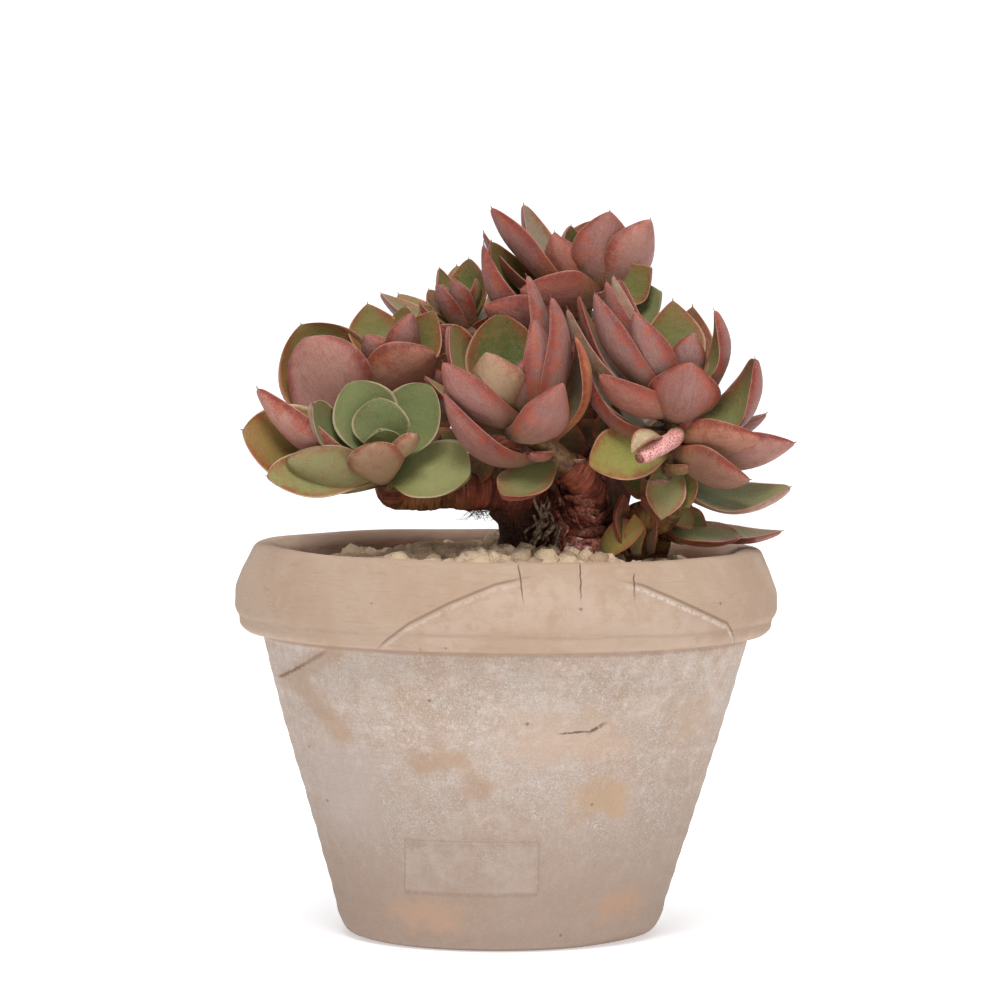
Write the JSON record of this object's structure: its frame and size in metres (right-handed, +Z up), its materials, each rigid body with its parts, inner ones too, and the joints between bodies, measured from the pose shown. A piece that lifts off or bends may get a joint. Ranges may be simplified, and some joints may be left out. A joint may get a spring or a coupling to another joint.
{
  "type": "potted echeveria",
  "caption": "Clump-forming echeveria: cupped leaf rosettes on bare woody stems in a tapered clay pot with a rolled rim, topped with pale gravel.",
  "frame": {"origin": "centre of the pot's foot, at the level it stands on", "axes": "+Z up, -Y towards the viewer of the picture, +X to the viewer's right"},
  "size_m": [0.2048, 0.1992, 0.2683],
  "materials": {
    "clay": "matte",
    "potting_mix": "matte",
    "pumice": "matte",
    "bark": "matte",
    "rose_leaf": "satin",
    "green_leaf": "satin"
  },
  "bodies": {
    "root": {"pot": "clay", "soil": "potting_mix", "gravel": "pumice", "stem": "bark", "rosette_green": "green_leaf", "rosette_centre": "rose_leaf", "rosette_right": "rose_leaf", "rosette_low": "rose_leaf", "rosette_left": "rose_leaf", "rosette_top": "rose_leaf", "rosette_upper_left": "rose_leaf", "rosette_back_right": "rose_leaf", "rosette_back_left": "rose_leaf", "rosette_back_middle": "rose_leaf"}
  },
  "joints": []
}
